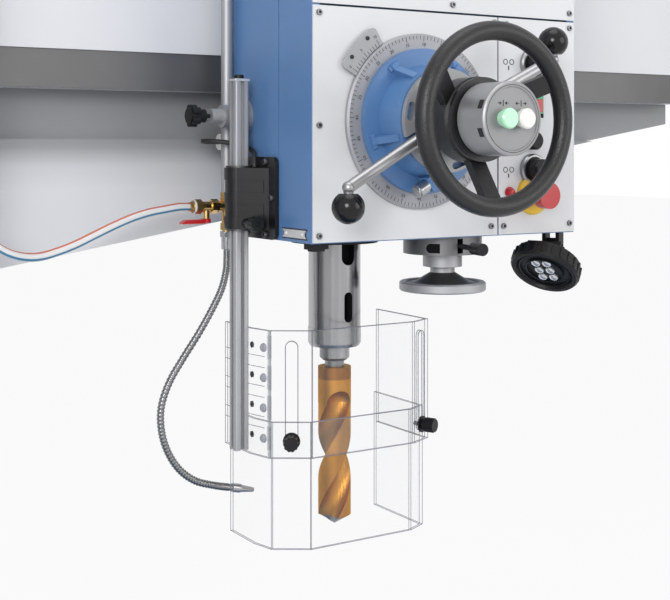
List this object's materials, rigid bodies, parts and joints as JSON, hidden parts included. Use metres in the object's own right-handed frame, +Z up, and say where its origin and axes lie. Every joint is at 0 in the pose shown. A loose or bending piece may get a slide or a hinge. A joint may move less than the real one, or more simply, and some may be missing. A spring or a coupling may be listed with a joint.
{
  "type": "radial arm drilling machine",
  "caption": "Radial arm drill: column on a T-slotted base, lifting arm with guideways and a sliding spindle head with feed levers, handwheel, telescopic clear guard and coolant gooseneck.",
  "frame": {"origin": "on the floor at the column's axis", "axes": "+Z up along the column, +X along the arm towards its tip, -Y towards the operator"},
  "size_m": [2.18, 0.931, 2.486],
  "materials": {
    "blue_paint": "semi-gloss enamel",
    "grey_paint": "light grey enamel",
    "motor_paint": "satin enamel",
    "cast_iron": "machined",
    "bright_steel": "ground",
    "dark_steel": "oiled",
    "chrome": "polished",
    "aluminium": "anodised",
    "brass": "machined",
    "gold_coat": "titanium nitride coating",
    "black_plastic": "moulded",
    "black_gloss": "moulded",
    "red_plastic": "moulded",
    "green_plastic": "moulded",
    "pale_green": "moulded",
    "white_plastic": "moulded",
    "clear_sheet": "clear polycarbonate",
    "clear_hose": "clear flexible hose with a red and a blue stripe",
    "hose_metal": "ribbed metal hose",
    "cable_black": "cable sheath"
  },
  "bodies": {
    "base": {"base_casting": "blue_paint", "column_post": "cast_iron", "coolant_pump": "motor_paint"},
    "column": {"column_sleeve": "bright_steel", "column_head": "blue_paint", "lift_motor": "motor_paint"},
    "lift_screw": {"lift_screw": "bright_steel"},
    "arm": {"arm_casting": "grey_paint", "arm_guideways": "bright_steel", "traverse_rack": "dark_steel", "control_cabinet": "grey_paint", "lift_nut": "brass", "hose_bulkhead": "bright_steel"},
    "head": {"head_casting": "blue_paint", "front_panels": "grey_paint", "control_panel": "grey_paint", "spindle_motor": "motor_paint", "button_drum": "chrome", "quill_flange": "black_plastic", "fine_feed_drum": "bright_steel", "guard_bracket": "black_plastic", "lock_boss": "bright_steel", "riser_pipe": "bright_steel", "coolant_valve": "brass", "gooseneck_hose": "hose_metal", "coolant_nozzle": "bright_steel", "supply_hose": "clear_hose", "switch_cable": "cable_black", "cable_gland": "white_plastic", "lamp_bracket": "black_plastic"},
    "lamp": {"work_lamp": "black_plastic"},
    "handwheel": {"traverse_handwheel": "black_gloss", "traverse_pinion": "bright_steel"},
    "clamp_button": {"clamp_button": "pale_green"},
    "release_button": {"release_button": "white_plastic"},
    "feed": {"feed_hub": "blue_paint", "feed_shaft": "bright_steel"},
    "dial": {"depth_dial": "bright_steel"},
    "dial_knob": {"dial_knob": "bright_steel"},
    "levers": {"feed_levers": "chrome", "lever_balls": "black_gloss"},
    "quill": {"quill": "chrome"},
    "spindle": {"spindle": "bright_steel", "twist_drill": "gold_coat"},
    "drive_gear": {"drive_gear": "bright_steel"},
    "motor_pinion": {"motor_pinion": "bright_steel"},
    "fine_wheel": {"fine_feed_wheel": "chrome"},
    "clutch_lever": {"feed_clutch_lever": "black_plastic"},
    "guard_swivel": {"guard_swivel": "dark_steel"},
    "guard_post": {"guard_post": "aluminium", "upper_shield": "clear_sheet"},
    "lower_guard": {"lower_shield": "clear_sheet", "shield_knobs": "black_plastic"},
    "guard_lock": {"guard_lock_knob": "black_plastic"},
    "valve_lever": {"valve_lever": "red_plastic"},
    "lock_knob": {"lock_knob": "black_plastic"},
    "speed_selector": {"speed_selector": "black_plastic"},
    "feed_selector": {"feed_selector": "black_plastic"},
    "rocker": {"start_stop_rocker": "green_plastic"},
    "emergency_stop": {"emergency_stop": "red_plastic"}
  },
  "joints": [
    {"name": "column_swing", "type": "hinge", "parent": "base", "child": "column", "pos_m": [0, 0, 1], "axis": [0, 0, 1], "range_deg": [-180, 180]},
    {"name": "arm_lift", "type": "slide", "parent": "column", "child": "arm", "axis": [0, 0, 1], "range_m": [-0.3, 0.3]},
    {"name": "screw_turn", "type": "hinge", "parent": "column", "child": "lift_screw", "pos_m": [0, 0.245, 1], "axis": [0, 0, 1], "continuous": true},
    {"name": "head_traverse", "type": "slide", "parent": "arm", "child": "head", "axis": [1, 0, 0], "range_m": [-0.33, 0.53], "deforming": ["supply_hose"]},
    {"name": "handwheel_turn", "type": "hinge", "parent": "head", "child": "handwheel", "pos_m": [0.8531, -0.143, 1.32], "axis": [0, 1, 0], "continuous": true},
    {"name": "quill_feed", "type": "slide", "parent": "head", "child": "quill", "axis": [0, 0, -1], "range_m": [-0.125, 0.145]},
    {"name": "feed_turn", "type": "hinge", "parent": "head", "child": "feed", "pos_m": [0.8531, -0.143, 1.32], "axis": [0, 1, 0], "range_deg": [-436, 376]},
    {"name": "feed_engage", "type": "slide", "parent": "feed", "child": "levers", "axis": [0, -1, 0], "range_m": [0, 0.01]},
    {"name": "dial_set", "type": "hinge", "parent": "feed", "child": "dial", "pos_m": [0.8531, -0.143, 1.32], "axis": [0, 1, 0], "range_deg": [-180, 180]},
    {"name": "dial_knob_turn", "type": "hinge", "parent": "feed", "child": "dial_knob", "pos_m": [0.8471, -0.179, 1.232], "axis": [-0.8829, 0, -0.4695], "continuous": true},
    {"name": "spindle_spin", "type": "hinge", "parent": "quill", "child": "spindle", "pos_m": [0.8, 0, 1.15], "axis": [0, 0, 1], "continuous": true},
    {"name": "drive_gear_spin", "type": "hinge", "parent": "head", "child": "drive_gear", "pos_m": [0.8, 0, 1.15], "axis": [0, 0, 1], "continuous": true},
    {"name": "motor_pinion_spin", "type": "hinge", "parent": "head", "child": "motor_pinion", "pos_m": [0.968, 0, 1.15], "axis": [0, 0, 1], "continuous": true},
    {"name": "fine_feed_turn", "type": "hinge", "parent": "head", "child": "fine_wheel", "pos_m": [0.949, -0.073, 1.15], "axis": [0, 0, 1], "continuous": true},
    {"name": "clutch_shift", "type": "slide", "parent": "head", "child": "clutch_lever", "axis": [0, 0, 1], "range_m": [-0.006, 0.006]},
    {"name": "clamp_press", "type": "slide", "parent": "head", "child": "clamp_button", "axis": [0, 1, 0], "range_m": [0, 0.006], "stiffness_N_per_m": 500},
    {"name": "release_press", "type": "slide", "parent": "head", "child": "release_button", "axis": [0, 1, 0], "range_m": [0, 0.006], "stiffness_N_per_m": 500},
    {"name": "guard_swing", "type": "hinge", "parent": "head", "child": "guard_swivel", "pos_m": [0.648, 0.0205, 1.15], "axis": [0, 0, 1], "range_deg": [-100, 0]},
    {"name": "guard_height", "type": "slide", "parent": "guard_swivel", "child": "guard_post", "axis": [0, 0, 1], "range_m": [-0.1, 0.035]},
    {"name": "shield_slide", "type": "slide", "parent": "guard_post", "child": "lower_guard", "axis": [0, 0, 1], "range_m": [0, 0.09]},
    {"name": "guard_lock_turn", "type": "hinge", "parent": "head", "child": "guard_lock", "pos_m": [0.648, -0.031, 1.173], "axis": [0, 1, 0], "range_deg": [-180, 180]},
    {"name": "valve_turn", "type": "hinge", "parent": "head", "child": "valve_lever", "pos_m": [0.6285, 0.089, 1.15], "axis": [0, 0, 1], "range_deg": [-90, 0]},
    {"name": "lock_turn", "type": "hinge", "parent": "head", "child": "lock_knob", "pos_m": [0.675, 0.056, 1.329], "axis": [1, 0, 0], "range_deg": [-180, 180]},
    {"name": "speed_select", "type": "hinge", "parent": "head", "child": "speed_selector", "pos_m": [1.067, -0.143, 1.41], "axis": [0, 1, 0], "range_deg": [-60, 60]},
    {"name": "feed_select", "type": "hinge", "parent": "head", "child": "feed_selector", "pos_m": [1.067, -0.143, 1.249], "axis": [0, 1, 0], "range_deg": [-60, 60]},
    {"name": "start_stop", "type": "hinge", "parent": "head", "child": "rocker", "pos_m": [1.067, -0.1415, 1.358], "axis": [1, 0, 0], "range_deg": [-4, 4], "stiffness_Nm_per_rad": 0.6},
    {"name": "stop_press", "type": "slide", "parent": "head", "child": "emergency_stop", "axis": [0, 1, 0], "range_m": [0, 0.006], "stiffness_N_per_m": 600},
    {"name": "lamp_tilt", "type": "hinge", "parent": "head", "child": "lamp", "pos_m": [1.13146, -0.11833, 1.12937], "axis": [-0.4226, 0.9063, 0], "range_deg": [-25, 3]}
  ],
  "couplings": [
    {"joint": "screw_turn", "follows": "arm_lift", "rad_per_m": 523.6},
    {"joint": "handwheel_turn", "follows": "head_traverse", "rad_per_m": -18.519},
    {"joint": "feed_turn", "follows": "quill_feed", "rad_per_m": -52.356},
    {"joint": "dial_knob_turn", "follows": "dial_set", "ratio": 20},
    {"joint": "drive_gear_spin", "follows": "spindle_spin", "ratio": 1},
    {"joint": "motor_pinion_spin", "follows": "spindle_spin", "ratio": -1.5}
  ]
}
